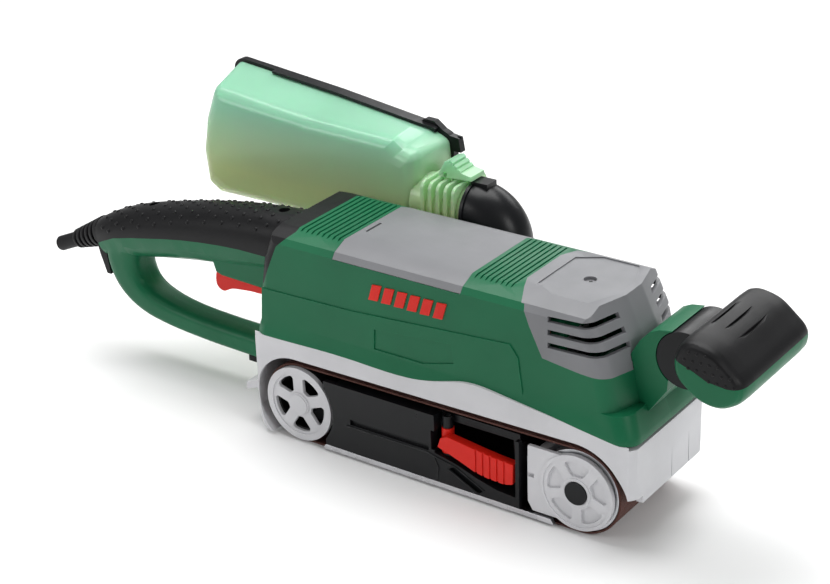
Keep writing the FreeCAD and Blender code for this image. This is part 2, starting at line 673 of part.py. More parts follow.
# ---------------------------------------------------------------- drive roller
def spoke_window(centre, r0, r1, middle_deg, spoke_half, y0, y1):
    """The gap between two of five spokes, with round corners, as a cutting tool."""
    x, z = centre

    def at(radius, angle):
        return V(x + radius * math.cos(angle), y0, z + radius * math.sin(angle))

    middle = math.radians(middle_deg)
    spread0 = math.radians(36) - math.asin(spoke_half / r0)
    spread1 = math.radians(36) - math.asin(spoke_half / r1)
    edges = [
        Part.Arc(at(r0, middle - spread0), at(r0, middle), at(r0, middle + spread0)).toShape(),
        Part.LineSegment(at(r0, middle + spread0), at(r1, middle + spread1)).toShape(),
        Part.Arc(at(r1, middle + spread1), at(r1, middle), at(r1, middle - spread1)).toShape(),
        Part.LineSegment(at(r1, middle - spread1), at(r0, middle - spread0)).toShape(),
    ]
    tool = Part.Face(Part.Wire(edges)).extrude(V(0, y1 - y0, 0))
    return soft_edges(tool, 1.8, lambda e: abs(e.tangentAt(e.FirstParameter).y) > 0.9)


def drive_drum():
    tube = tube_y(REAR_X, REAR_Z, 21.2, 17.0, -36.9, 37.2)
    web = tube_y(REAR_X, REAR_Z, 17.5, DRIVE_SHAFT_R, -24.0, -18.0)
    hub = tube_y(REAR_X, REAR_Z, 8.5, DRIVE_SHAFT_R, -36.9, -18.0)
    return fused([tube, web, hub])


def drive_sleeve():
    return tube_y(REAR_X, REAR_Z, REAR_ROLLER_R, 21.2, -37.2, 37.2)


def drive_shaft():
    shaft = rod_y(REAR_X, REAR_Z, DRIVE_SHAFT_R - SHAFT_GAP, -18.0, 54.7)
    return shaft.fuse(rod_y(REAR_X, REAR_Z, DRIVE_SHAFT_R, -37.0, -18.0)).removeSplitter()


def drive_wheel_cap():
    """Light cap on the free end of the drum, with five spokes."""
    cap = rod_y(REAR_X, REAR_Z, REAR_ROLLER_R, -40.2, -37.2)
    cap = cap.fuse(rod_y(REAR_X, REAR_Z, 6.0, -41.0, -40.2))
    dish = rod_y(REAR_X, REAR_Z, 19.4, -42, -39.4).cut(rod_y(REAR_X, REAR_Z, 7.0, -43, -39))
    cap = cap.cut(dish)
    for i in range(5):
        cap = cap.cut(spoke_window((REAR_X, REAR_Z), 8.4, 17.8, 56 + 72 * i, 3.5, -45, -36))
    return cap


def drive_bearings():
    rings = [tube_y(REAR_X, REAR_Z, 11.0, DRIVE_SHAFT_R, y0, y0 + 7) for y0 in (6.0, 30.6)]
    return Part.makeCompound(rings)


def bearing_carrier():
    """Fixed tube inside the drum that holds the drive shaft's bearings."""
    tube = tube_y(REAR_X, REAR_Z, 13.6, 11.0, 5.0, 38.0)
    flange = tube_y(REAR_X, REAR_Z, 18.0, 9.0, 37.8, SKIRT_Y - WALL)
    return fused([tube, flange])


def toothed_wheel(x, z, radius, teeth, bore, y0, y1):
    """A toothed-belt pulley: a plain rim with one round-bottomed groove per tooth."""
    wheel = rod_y(x, z, radius, y0, y1)
    groove_r = TOOTH_PITCH * 0.24
    grooves = []
    for i in range(teeth):
        angle = 2 * math.pi * i / teeth
        grooves.append(rod_y(x + radius * math.cos(angle), z + radius * math.sin(angle),
                             groove_r, y0 - 1, y1 + 1))
    return wheel.cut(Part.makeCompound(grooves)).cut(rod_y(x, z, bore, y0 - 1, y1 + 1))


def driven_pulley():
    return toothed_wheel(REAR_X, REAR_Z, PULLEY_R, PULLEY_TEETH, DRIVE_SHAFT_R - SHAFT_GAP,
                         DRIVE_Y0, DRIVE_Y1)


def drive_pinion():
    return toothed_wheel(MOTOR_X, MOTOR_Z, PINION_R, PINION_TEETH, 2.5, DRIVE_Y0, DRIVE_Y1)


def toothed_belt():
    """The drive belt, standing clear of the teeth that it would mesh with."""
    gap, thick = RUNNING_GAP, 1.3
    outer = around_two((REAR_X, REAR_Z, PULLEY_R + gap + thick), (MOTOR_X, MOTOR_Z, PINION_R + gap + thick),
                       DRIVE_Y0 + 0.4, DRIVE_Y1 - 0.4)
    inner = around_two((REAR_X, REAR_Z, PULLEY_R + gap), (MOTOR_X, MOTOR_Z, PINION_R + gap),
                       DRIVE_Y0 - 1, DRIVE_Y1 + 1)
    return outer.cut(inner)


def transmission_block(inset, y0, y1):
    return around_two((REAR_X, REAR_Z, 22.4 - inset), (MOTOR_X, MOTOR_Z, 12.0 - inset), y0, y1)


def transmission_cover():
    """The black cover over the toothed belt on the drive side."""
    outer = transmission_block(0.0, SKIRT_Y, COVER_Y)
    outer = outer.makeChamfer(2.0, [e for e in outer.Edges if e.CenterOfMass.y > COVER_Y - 0.1])
    cover = outer.cut(transmission_block(2.0, SKIRT_Y - 1, COVER_Y - 2))
    for i in range(5):
        share = 0.30 + 0.1 * i
        x = REAR_X + (MOTOR_X - REAR_X) * share
        z = REAR_Z + (MOTOR_Z - REAR_Z) * share
        rib = box(x - 1.0, x + 1.0, COVER_Y - 0.8, COVER_Y + 1, z - 9, z + 9)
        cover = cover.cut(rib)
    for x, z in COVER_SCREWS:
        ear = rod_y(x, z, 4.6, SKIRT_Y, SKIRT_Y + 5).cut(transmission_block(0.5, 30, 70))
        cover = cover.fuse(ear)
    for x, z in COVER_SCREWS:
        cover = cover.cut(rod_y(x, z, 1.9, 30, 70)).cut(rod_y(x, z, 3.7, SKIRT_Y + 4.9, 70))
    return biggest_solid(cover.removeSplitter())


COVER_SCREWS = [(-62.0, 62.5), (2.0, 51.0)]


def cover_side_screws():
    screws = []
    for x, z in COVER_SCREWS:
        screws.append(rod_y(x, z, 3.4, SKIRT_Y + 5, SKIRT_Y + 7.4).fuse(rod_y(x, z, 1.8, 38, SKIRT_Y + 5)))
    return Part.makeCompound(screws)


def transmission_rim():
    """Raised wall on the drive side of the housing, on which the cover seats."""
    ring = transmission_block(0.0, SIDE_Y - 0.5, SKIRT_Y).cut(transmission_block(2.0, 20, 60))
    return ring.common(box(-FAR, FAR, 0, FAR, DECK_Z + 3.5, FAR))


# ---------------------------------------------------------------- motor
def motor_stator():
    ring = tube_y(MOTOR_X, MOTOR_Z, STATOR_R, ARMATURE_R + 0.6, -13, 13)
    return ring.common(box(MOTOR_X - 30, MOTOR_X + 30, -14, 14, MOTOR_Z - 25.5, MOTOR_Z + 25.5))


def field_coils():
    """The two windings of the field, where they stand out of both ends of the stator."""
    coils = []
    for y0, y1 in ((-20.5, -13.0), (13.0, 19.4)):
        ring = tube_y(MOTOR_X, MOTOR_Z, 23.5, 17.6, y0, y1)
        for side in (1, -1):
            z_edge = MOTOR_Z + side * 6.0
            z_far = MOTOR_Z + side * 30.0
            part = box(MOTOR_X - 30, MOTOR_X + 30, y0 - 1, y1 + 1, min(z_edge, z_far), max(z_edge, z_far))
            coils.append(ring.common(part))
    return Part.makeCompound(coils)


def armature_core():
    core = tube_y(MOTOR_X, MOTOR_Z, ARMATURE_R, 4.0, -13, 13)
    slots = []
    for i in range(12):
        angle = 2 * math.pi * i / 12
        slots.append(rod_y(MOTOR_X + 14.6 * math.cos(angle), MOTOR_Z + 14.6 * math.sin(angle), 1.6, -14, 14))
    return core.cut(Part.makeCompound(slots))


def armature_windings():
    ends = []
    for y0, y1 in ((-18.6, -13.0), (13.0, 18.6)):
        ends.append(tube_y(MOTOR_X, MOTOR_Z, 13.0, 4.0, y0, y1))
    return Part.makeCompound(ends)


def commutator():
    drum = tube_y(MOTOR_X, MOTOR_Z, 10.5, 4.0, -30.2, -18.8)
    slots = []
    for i in range(24):
        bar = box(9.3, 11.5, -31, -20.5, -0.2, 0.2)
        bar.rotate(V(0, 0, 0), V(0, 1, 0), 15 * i)
        bar.translate(V(MOTOR_X, 0, MOTOR_Z))
        slots.append(bar)
    return drum.cut(Part.makeCompound(slots))


def armature_shaft():
    main = rod_y(MOTOR_X, MOTOR_Z, 4.0, -30.6, 30.2)
    near_end = rod_y(MOTOR_X, MOTOR_Z, 3.5 - SHAFT_GAP, -36.0, -30.6)
    far_end = rod_y(MOTOR_X, MOTOR_Z, 4.0 - SHAFT_GAP, 30.2, 44.0)
    nose = rod_y(MOTOR_X, MOTOR_Z, 2.5, 44.0, DRIVE_Y1)
    return fused([main, near_end, far_end, nose])


def motor_fan():
    """Radial fan: a back disc, a hub and curved blades."""
    disc = tube_y(MOTOR_X, MOTOR_Z, 24.5, 4.0, 20.4, 21.6)
    hub = tube_y(MOTOR_X, MOTOR_Z, 7.0, 4.0, 20.4, 28.4)
    blades = []
    for i in range(11):
        blade = box(6.5, 24.0, 21.0, 28.0, -0.6, 0.6)
        blade.rotate(V(6.5, 0, 0), V(0, 1, 0), 14)
        blade.rotate(V(0, 0, 0), V(0, 1, 0), 360.0 / 11 * i)
        blade.translate(V(MOTOR_X, 0, MOTOR_Z))
        blades.append(blade)
    return fused([disc, hub] + blades)


def motor_bearings():
    near_ring = tube_y(MOTOR_X, MOTOR_Z, 9.5, 3.5, -36.4, -31.0)
    far_ring = tube_y(MOTOR_X, MOTOR_Z, 11.0, 4.0, 30.4, 36.6)
    return Part.makeCompound([near_ring, far_ring])


def brush_gear(part):
    """Holders or carbon brushes on both sides of the commutator."""
    solids = []
    for side in (1, -1):
        if part == "holder":
            outer = box(12.5, 25.0, -28.6, -20.4, -5.0, 5.0)
            solid = outer.cut(box(10, 30, -27.6, -21.4, -3.2, 3.2))
        elif part == "brush":
            solid = box(10.5 + RUNNING_GAP, 19.5, -27.5, -21.5, -3.1, 3.1)
        else:
            solid = box(19.5, 24.6, -26.5, -22.5, -2.0, 2.0)
        solid.rotate(V(0, 0, 0), V(0, 1, 0), 0 if side > 0 else 180)
        solid.translate(V(MOTOR_X, 0, MOTOR_Z))
        solids.append(solid)
    return Part.makeCompound(solids)


# ---------------------------------------------------------------- handle: switch, cord entry
def trigger():
    """Red trigger: a finger bar under the grip and a stem up into the switch."""
    outline = [(-177.6, 80), (-180.0, 72.5), (-178.6, 66.2), (-174.5, 64.6), (-169.5, 66.8),
               (-161, 68.6), (-150, 69.6), (-142.2, 71.0), (-140.8, 82), (-145, 84), (-174, 84)]
    bar = curved_prism_y(outline, -7.6, 7.6)
    bar = bar.cut(rod_y(-142.0, 80.0, 3.0, -10, 10)).fuse(rod_y(-142.0, 80.0, 3.0, -7.6, 7.6))
    stem = box(-170, -158, -5, 5, 80, 88.6)
    wheel_room = rod_y(-152.0, 74.6, 7.4, -3.4, 3.4)
    pin = rod_y(-152.0, 74.6, 1.5, -7.0, 7.0)
    return biggest_solid(bar.fuse(stem).cut(wheel_room).fuse(pin))


def speed_dial():
    """Thumbwheel in the trigger, which sets the belt speed."""
    wheel = rod_y(-152.0, 74.6, 7.0, -3.0, 3.0)
    notches = []
    for i in range(24):
        angle = 2 * math.pi * i / 24
        notches.append(rod_y(-152.0 + 7.0 * math.cos(angle), 74.6 + 7.0 * math.sin(angle), 0.5, -4, 4))
    return wheel.cut(Part.makeCompound(notches)).cut(rod_y(-152.0, 74.6, 1.5 + SHAFT_GAP, -5, 5))


def switch_module():
    body = box(-182, -142, -8.5, 8.5, 92.4, 110)
    terminals = box(-190, -182, -6, 6, 95, 104)
    return body.fuse(terminals).removeSplitter()


def lock_button():
    """Button on the drive side of the grip that holds the trigger in."""
    head = rod_y(LOCK_X, LOCK_Z, 4.0, 14.6, 20.2)
    stem = rod_y(LOCK_X, LOCK_Z, 2.2, 9.6, 14.6)
    return fused([head, stem])


def cord_sleeve():
    """Rubber bend protection: a flange held in the handle, a ribbed cone and a plain tip."""
    body = cord_rod(6.0, -4, 16)
    flange = cord_rod(7.2, -5.0, -2.0)
    cone = Part.makeCone(10.0, 6.4, 28, CORD_START + V(*CORD_AXIS) * 14.0, V(*CORD_AXIS))
    tip = cord_rod(4.9, 40, 60.8)
    sleeve = fused([body, flange, cone, tip])
    for i in range(5):
        start = 18.0 + 4.9 * i
        ring = cord_rod(12, start, start + 2.1).cut(cord_rod(5.2, start - 1, start + 3))
        sleeve = sleeve.cut(ring)
    return biggest_solid(sleeve.cut(cord_rod(3.7, -10, 70)))


def handle_foot():
    """Small black rubber pad under the front end of the loop."""
    return box(-158, -144, -8, 8, 21.8, 26.0).cut(loop_solid())


# ---------------------------------------------------------------- dust extraction
def dust_outlet():
    """Duct out of the drive side wall that turns up into a round stub."""
    body = box(OUTLET_X - 15, OUTLET_X + 15, SIDE_Y, OUTLET_Y, 85.0, 99.0)
    body = body.fuse(rod_z(OUTLET_X, OUTLET_Y, 15.0, 85.0, 99.0))
    body = body.fuse(rod_z(OUTLET_X, OUTLET_Y, STUB_R, 99.0, 110.0))
    hollow = box(OUTLET_X - 12, OUTLET_X + 12, SIDE_Y - 1, OUTLET_Y, 87.5, 96.5)
    hollow = hollow.fuse(rod_z(OUTLET_X, OUTLET_Y, 11.0, 87.5, 111))
    return body.cut(hollow).removeSplitter()


def elbow_pipe(radius, z_start, x_end):
    """A round bar from z_start up the outlet's axis, round the bend and along -X."""
    turn_r = 18.4
    corner = V(OUTLET_X, OUTLET_Y, SPIGOT_Z - turn_r)
    level = V(OUTLET_X - turn_r, OUTLET_Y, SPIGOT_Z)
    half = turn_r * math.sqrt(0.5)
    middle = V(OUTLET_X - turn_r + half, OUTLET_Y, SPIGOT_Z - turn_r + half)
    path = Part.Wire([
        Part.LineSegment(V(OUTLET_X, OUTLET_Y, z_start), corner).toShape(),
        Part.Arc(corner, middle, level).toShape(),
        Part.LineSegment(level, V(x_end, OUTLET_Y, SPIGOT_Z)).toShape()])
    circle = Part.Wire(Part.makeCircle(radius, V(OUTLET_X, OUTLET_Y, z_start), V(0, 0, 1)))
    return path.makePipeShell([circle], True, False)


def dust_elbow():
    """Black elbow that turns on the outlet stub and carries the dust box."""
    outer = elbow_pipe(ELBOW_R, 99.4, NECK_X + 0.6)
    ring = rod_x(OUTLET_Y, SPIGOT_Z, ELBOW_R + 1.0, NECK_X + 0.4, NECK_X + 2.4)
    spigot = rod_x(OUTLET_Y, SPIGOT_Z, 12.5, NECK_X - 17, NECK_X + 2)
    catch = box(NECK_X + 0.6, NECK_X + 12, OUTLET_Y - 5, OUTLET_Y + 5, SPIGOT_Z + 13, SPIGOT_Z + 18.6)
    outer = outer.fuse([ring, spigot, catch])
    outer = outer.cut(elbow_pipe(10.8, 98.0, NECK_X - 20))
    return biggest_solid(outer.cut(rod_z(OUTLET_X, OUTLET_Y, STUB_R + RUNNING_GAP, 90, 110.6)))


BOX_NEAR = [  # corners of the dust box's inner side wall: x, z, rounding
    (-221, 168.5, 7), (-150, 162.4, 20), (-84, 161.5, 4), (-78, 156.5, 3), (-69, 155, 6),
    (-68, 120, 8), (-72, 105, 8), (-90, 101.5, 6), (-150, 99, 20), (-224, 98, 5),
    (-232, 103, 5), (-234.2, 124, 14), (-230, 147, 14)]
BOX_FAR = [  # the same at the lid's outer face
    (-231, 176, 5), (-150, 167.3, 20), (-94, 158.6, 8), (-82, 158.0, 4), (-69, 152.6, 5),
    (-66, 120, 8), (-72, 105, 8), (-90, 101.5, 6), (-150, 99, 20), (-224, 98, 5),
    (-232, 103, 5), (-234.6, 124, 14), (-235, 150, 14)]


def box_wire(y, inset):
    """Outline of the dust box at one depth, pulled in by inset."""
    share = (max(y, BOX_Y0) - BOX_Y0) / (BOX_Y1 + LID_DEPTH - BOX_Y0)
    middle_x, middle_z = -150.0, 132.0
    corners = []
    for (x0, z0, r0), (x1, z1, r1) in zip(BOX_NEAR, BOX_FAR):
        x, z = x0 + (x1 - x0) * share, z0 + (z1 - z0) * share
        if x != middle_x:
            x -= inset * math.copysign(1.0, x - middle_x)
        z -= inset * math.copysign(1.0, z - middle_z)
        corners.append((x, z, max(1.0, (r0 + (r1 - r0) * share) - inset)))
    return rounded_wire(corners, at_depth(y))


def box_form(inset, y0, y1, rounding):
    """The dust box's form from y0 to y1, with its near wall rounded into its sides."""
    wires = []
    for share in (0.0, 0.07, 0.25, 0.55, 1.0):
        depth = rounding * share
        pull = rounding - math.sqrt(rounding ** 2 - (rounding - depth) ** 2)
        wires.append(box_wire(y0 + depth, inset + pull))
    wires.append(box_wire(y1, inset))
    return Part.makeLoft(wires, True, True)


def dust_box():
    """Clear shell, open to the drive side, with a ribbed round neck at its front."""
    wall, rounding = 1.8, 9.0
    body = box_form(0.0, BOX_Y0, BOX_Y1, rounding)
    body = body.cut(box_form(wall, BOX_Y0 + wall, BOX_Y1 + 1, rounding - wall))
    neck = rod_x(OUTLET_Y, SPIGOT_Z, 15.6, -72, NECK_X)
    ribs = []
    for i in range(5):
        x, half = -62.6 + 5.4 * i, 17.2
        fin = box(x, x + 2.0, OUTLET_Y - half, OUTLET_Y + half, SPIGOT_Z - half, SPIGOT_Z + half)
        ribs.append(soft_edges(fin, 5.0, lambda e: abs(e.tangentAt(e.FirstParameter).x) > 0.9))
    latch_foot = box(-54, -48, OUTLET_Y - 5, OUTLET_Y + 5, 137, 142.0)
    whole = fused([body, neck, latch_foot] + ribs)
    return biggest_solid(whole.cut(rod_x(OUTLET_Y, SPIGOT_Z, 12.5 + RUNNING_GAP, -80, NECK_X + 1)))


def box_latch():
    """Ribbed tongue on the neck that hooks behind the elbow's collar."""
    tongue = prism_y([(-57, 143.4), (-52, 152.5), (-48, 154.2), (-40, 147.4), (-34.0, 146.4),
                      (-33.4, 143.9), (-50, 142.9)], OUTLET_Y - 7, OUTLET_Y + 7)
    tongue = tongue.cut(rod_y(-52.0, 144.6, 1.5, OUTLET_Y - 9, OUTLET_Y + 9))
    for i in range(5):
        x = -51.5 + 2.6 * i
        z = 154.6 - 1.5 * i
        tongue = tongue.cut(box(x, x + 1.0, OUTLET_Y - 8, OUTLET_Y + 8, z - 1.0, z + 6))
    return biggest_solid(tongue)


def lid_form(inset, y0, y1):
    wire = box_wire(BOX_Y1, inset)
    lift = wire.copy()
    lift.translate(V(0, y0 - BOX_Y1, 0))
    return Part.Face(lift).extrude(V(0, y1 - y0, 0))


HINGE_X, HINGE_Y = -63.6, 86.6


def dust_box_lid():
    """Dark lid with a lip round the box, a finger bump on top and an upright hinge in front."""
    dish = lid_form(-2.2, BOX_Y1 + 0.2, BOX_Y1 + LID_DEPTH)
    dish = dish.cut(lid_form(1.6, BOX_Y1 - 1, BOX_Y1 + LID_DEPTH - 1.8))
    lip = lid_form(-2.2, BOX_Y1 - 3.2, BOX_Y1 + 0.2).cut(lid_form(-0.5, BOX_Y1 - 4, BOX_Y1 + 1))
    dish = dish.fuse(lip.common(box(-FAR, -77, 0, FAR, 0, FAR)))
    bump = prism_y([(-92, 158.5), (-87, 162.6), (-80, 162.4), (-74, 158.0), (-76, 154), (-90, 156)],
                   BOX_Y1 + 0.2, BOX_Y1 + LID_DEPTH)
    knuckle = prism_y([(-70, 155.6), (-62.6, 154.6), (-61.0, 146.0), (-70, 146.0)],
                      BOX_Y1 + 0.2, BOX_Y1 + LID_DEPTH)
    lid = fused([dish, bump, knuckle])
    return biggest_solid(lid.cut(rod_z(HINGE_X, HINGE_Y, 1.2, 140, 160)))


def filter_frame():
    frame = lid_form(9.0, BOX_Y1 - 15, BOX_Y1 + LID_DEPTH - 1.8)
    return frame.cut(lid_form(11.0, BOX_Y1 - 16, BOX_Y1 + LID_DEPTH))


def dust_filter():
    """Pleated paper element inside its frame."""
    outline = []
    pitch, depth = 6.0, 9.0
    x_first, count = -214.0, 19
    y_low = BOX_Y1 - 12.0
    for i in range(count):
        outline.append((x_first + pitch * i, y_low if i % 2 else y_low + depth))
    back = [(x, y + 1.2) for x, y in reversed(outline)]
    return prism_z(outline + back, 114.2, 146.6)


# ---------------------------------------------------------------- front knob
TONGUE_HALF = 5.5                # half width of the bracket's arm inside the barrel
SLOT_DEGREES = (136, 184, 234)   # the barrel's slot, which leaves room for the whole tilt


def bracket_solid(margin):
    """Green wedge on the front of the housing, with the knob's socket in it."""
    outline = [(106, 96), (112, 103.4), (118, 113.5), (123.4, 119.4), (128.5, 121.8), (136, 123.0),
               (134, 88.0), (131.5, 84.5), (124.5, 74.5), (122.0, 71.6), (118.0, 76)]
    return prism_y(outline, -BARREL_HALF - margin, BARREL_HALF + margin)


def knob_bracket():
    wedge = bracket_solid(0.0)
    wedge = wedge.cut(rod_y(BARREL_X, BARREL_Z, BARREL_R + RUNNING_GAP, -40, 40))
    tongue = rod_y(BARREL_X, BARREL_Z, 7.0, -TONGUE_HALF, TONGUE_HALF)
    arm = box(124, BARREL_X, -TONGUE_HALF, TONGUE_HALF, BARREL_Z - 3.2, BARREL_Z + 3.2)
    whole = fused([wedge, arm, tongue]).cut(envelope(0.0)).cut(skirt_block(0.0, DECK_Z))
    return biggest_solid(whole.cut(rod_y(BARREL_X, BARREL_Z, 3.0 + SHAFT_GAP, -40, 40)))


def knob_barrel():
    """Black barrel that turns in the bracket's socket, slotted behind for the bracket's arm."""
    barrel = rod_y(BARREL_X, BARREL_Z, BARREL_R, -BARREL_HALF, BARREL_HALF)
    gap = TONGUE_HALF + 0.4
    reach = BARREL_R + 6
    sector = [(BARREL_X, BARREL_Z)]
    for degrees in SLOT_DEGREES:
        angle = math.radians(degrees)
        sector.append((BARREL_X + reach * math.cos(angle), BARREL_Z + reach * math.sin(angle)))
    slot = prism_y(sector, -gap, gap).fuse(rod_y(BARREL_X, BARREL_Z, 7.4, -gap, gap))
    return biggest_solid(barrel.cut(slot).cut(rod_y(BARREL_X, BARREL_Z, 3.0, -40, 40)))


KNOB_OUTLINE = [
    (146.8, 117.0), (148.4, 125.0), (153.0, 130.6), (161.5, 131.2), (171.0, 128.2), (179.5, 121.6),
    (186.2, 114.6), (186.8, 107.4), (182.0, 101.2), (173.6, 97.4), (163.6, 98.6), (154.0, 104.6),
    (148.2, 110.8)]
KNOB_SIZES = [  # distance from the middle, size of the section
    (0.0, 1.0), (14.0, 1.0), (27.0, 1.0), (34.0, 0.985), (37.0, 0.94), (39.0, 0.85), (39.6, 0.76)]


def knob_section(y, size):
    """Outline of the knob across its width."""
    middle_x, middle_z = 166.0, 113.0
    points = []
    for x, z in KNOB_OUTLINE:
        points.append(V(middle_x + (x - middle_x) * size, y, middle_z + (z - middle_z) * size))
    return closed_curve(points)


def knob_body():
    places = [(-y, size) for y, size in reversed(KNOB_SIZES[1:])] + KNOB_SIZES
    solid = Part.makeLoft([knob_section(y, size) for y, size in places], True, True)
    core = rod_y(BARREL_X, BARREL_Z, BARREL_R, -BARREL_HALF, BARREL_HALF)
    return solid.cut(core)


def knob_lower_zone():
    return prism_y([(130, 60), (130, 119), (150, 119.4), (159, 116.2), (167, 112.6), (178, 111.4),
                    (188, 113.0), (200, 114), (200, 60)], -60, 60)


def knob_grip():
    """Black upper half of the knob, with three lens-shaped grooves in its top."""
    grip = knob_body().cut(knob_lower_zone())
    sweep, depth = 70.0, 1.3
    for x, top in ((156.5, 131.2), (164.5, 130.4), (172.5, 127.2)):
        grip = grip.cut(rod_x(0, top + sweep - depth, sweep, x - 0.8, x + 0.8))
    return biggest_solid(grip)


def knob_shell():
    return biggest_solid(knob_body().common(knob_lower_zone()))


def knob_pin():
    return rod_y(BARREL_X, BARREL_Z, 3.0, -BARREL_HALF + 0.5, BARREL_HALF - 0.5)


# ---------------------------------------------------------------- all nodes
def all_nodes():
    left, right = housing_halves()
    return {
        "housing_left": left,
        "housing_right": right,
        "handle_softgrip": softgrip(),
        "top_screws": top_screws(),
        "top_plate": top_plate(),
        "front_cover": front_cover(),
        "housing_screws": housing_screws(),
        "side_accent": side_accent(),
        "belt_shroud": belt_shroud(),
        "belt_frame": belt_frame(),
        "sole_plate": sole_plate(),
        "sole_pad": sole_pad(),
        "sanding_belt": sanding_belt(),
        "tension_lever": tension_lever(),
        "lever_pin": lever_pin(),
        "tension_spring": tension_spring(),
        "roller_carriage": carriage(),
        "front_axle": front_axle(),
        "front_roller": front_roller(),
        "front_roller_bearings": front_bearings(),
        "drive_drum": drive_drum(),
        "drive_drum_sleeve": drive_sleeve(),
        "drive_shaft": drive_shaft(),
        "drive_wheel_cap": drive_wheel_cap(),
        "drive_bearings": drive_bearings(),
        "bearing_carrier": bearing_carrier(),
        "driven_pulley": driven_pulley(),
        "drive_pinion": drive_pinion(),
        "toothed_belt": toothed_belt(),
        "transmission_cover": transmission_cover(),
        "transmission_screws": cover_side_screws(),
        "motor_stator": motor_stator(),
        "field_coils": field_coils(),
        "armature_core": armature_core(),
        "armature_windings": armature_windings(),
        "commutator": commutator(),
        "armature_shaft": armature_shaft(),
        "motor_fan": motor_fan(),
        "motor_bearings": motor_bearings(),
        "brush_holders": brush_gear("holder"),
        "carbon_brushes": brush_gear("brush"),
        "brush_springs": brush_gear("spring"),
        "trigger": trigger(),
        "speed_dial": speed_dial(),
        "switch_module": switch_module(),
        "lock_button": lock_button(),
        "cord_sleeve": cord_sleeve(),
        "handle_foot": handle_foot(),
        "dust_outlet": dust_outlet(),
        "dust_elbow": dust_elbow(),
        "dust_box": dust_box(),
        "box_latch": box_latch(),
        "dust_box_lid": dust_box_lid(),
        "filter_frame": filter_frame(),
        "dust_filter": dust_filter(),
        "knob_bracket": knob_bracket(),
        "knob_barrel": knob_barrel(),
        "knob_grip": knob_grip(),
        "knob_shell": knob_shell(),
        "knob_pin": knob_pin(),
    }


def main():
    os.makedirs("parts", exist_ok=True)
    for name, shape in all_nodes().items():
        if not shape.isValid() or shape.Volume <= 0:
            print("check", name, shape.isValid(), round(shape.Volume))
        shape.exportStep(os.path.join("parts", name + ".step"))


main()
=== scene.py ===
"""Looks for the handheld belt sander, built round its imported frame. Metres throughout."""

import json
import math

import bmesh
import bpy
from mathutils import Matrix, Vector
from mathutils.bvhtree import BVHTree


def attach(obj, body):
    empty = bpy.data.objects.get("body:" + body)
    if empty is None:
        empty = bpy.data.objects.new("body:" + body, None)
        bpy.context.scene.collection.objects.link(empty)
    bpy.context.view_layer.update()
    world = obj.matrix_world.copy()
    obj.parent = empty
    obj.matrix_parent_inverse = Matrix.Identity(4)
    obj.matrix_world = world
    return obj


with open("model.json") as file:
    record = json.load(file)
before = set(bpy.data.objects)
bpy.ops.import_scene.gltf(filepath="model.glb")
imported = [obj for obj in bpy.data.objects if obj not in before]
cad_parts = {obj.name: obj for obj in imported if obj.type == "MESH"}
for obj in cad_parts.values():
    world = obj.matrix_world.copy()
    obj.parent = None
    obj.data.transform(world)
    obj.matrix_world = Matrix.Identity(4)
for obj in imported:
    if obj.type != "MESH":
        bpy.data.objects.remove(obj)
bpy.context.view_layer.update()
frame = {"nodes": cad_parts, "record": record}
MM = 0.001


# ---------------------------------------------------------------- materials
def node(tree, kind, **inputs):
    """A shader node with some of its inputs set: a value sets it, a socket links to it."""
    made = tree.nodes.new(kind)
    for name, value in inputs.items():
        put(tree, made.inputs[name.replace("_", " ")], value)
    return made


def put(tree, socket, value):
    if isinstance(value, bpy.types.NodeSocket):
        tree.links.new(value, socket)
    else:
        socket.default_value = value


def fresh(name):
    mat = bpy.data.materials.new(name)
    mat.use_nodes = True
    tree = mat.node_tree
    return mat, tree, tree.nodes["Principled BSDF"]


def noise(tree, scale, detail=3.0, rough=0.5):
    where = node(tree, "ShaderNodeTexCoord")
    made = node(tree, "ShaderNodeTexNoise", Scale=scale, Detail=detail, Roughness=rough)
    tree.links.new(where.outputs["Object"], made.inputs["Vector"])
    return made.outputs["Fac"]


def ranged(tree, value, low, high, from_low=0.3, from_high=0.7):
    made = tree.nodes.new("ShaderNodeMapRange")
    tree.links.new(value, made.inputs["Value"])
    made.inputs["From Min"].default_value = from_low
    made.inputs["From Max"].default_value = from_high
    made.inputs["To Min"].default_value = low
    made.inputs["To Max"].default_value = high
    return made.outputs["Result"]


def mixed(tree, share, first, second):
    made = tree.nodes.new("ShaderNodeMix")
    made.data_type = "RGBA"
    put(tree, made.inputs["Factor"], share)
    put(tree, made.inputs[6], first)
    put(tree, made.inputs[7], second)
    return made.outputs[2]


def shade(colour, factor):
    return tuple(min(1.0, c * factor) for c in colour[:3]) + (1.0,)


def bumped(tree, height, strength, distance, under=None):
    made = node(tree, "ShaderNodeBump", Strength=strength, Distance=distance)
    tree.links.new(height, made.inputs["Height"])
    if under is not None:
        tree.links.new(under, made.inputs["Normal"])
    return made.outputs["Normal"]


def edge_share(tree, low, high):
    """How far a spot lies on a rubbed edge, broken up by a noise."""
    soft = node(tree, "ShaderNodeBevel", Radius=0.0009)
    soft.samples = 4
    flat = tree.nodes.new("ShaderNodeNewGeometry")
    same = tree.nodes.new("ShaderNodeVectorMath")
    same.operation = "DOT_PRODUCT"
    tree.links.new(soft.outputs["Normal"], same.inputs[0])
    tree.links.new(flat.outputs["Normal"], same.inputs[1])
    edge = ranged(tree, same.outputs["Value"], 1.0, 0.0, low, high)
    made = tree.nodes.new("ShaderNodeMath")
    made.operation = "MULTIPLY"
    tree.links.new(edge, made.inputs[0])
    tree.links.new(ranged(tree, noise(tree, 260.0, 4.0), 0.0, 1.0, 0.40, 0.62), made.inputs[1])
    return made.outputs[0]


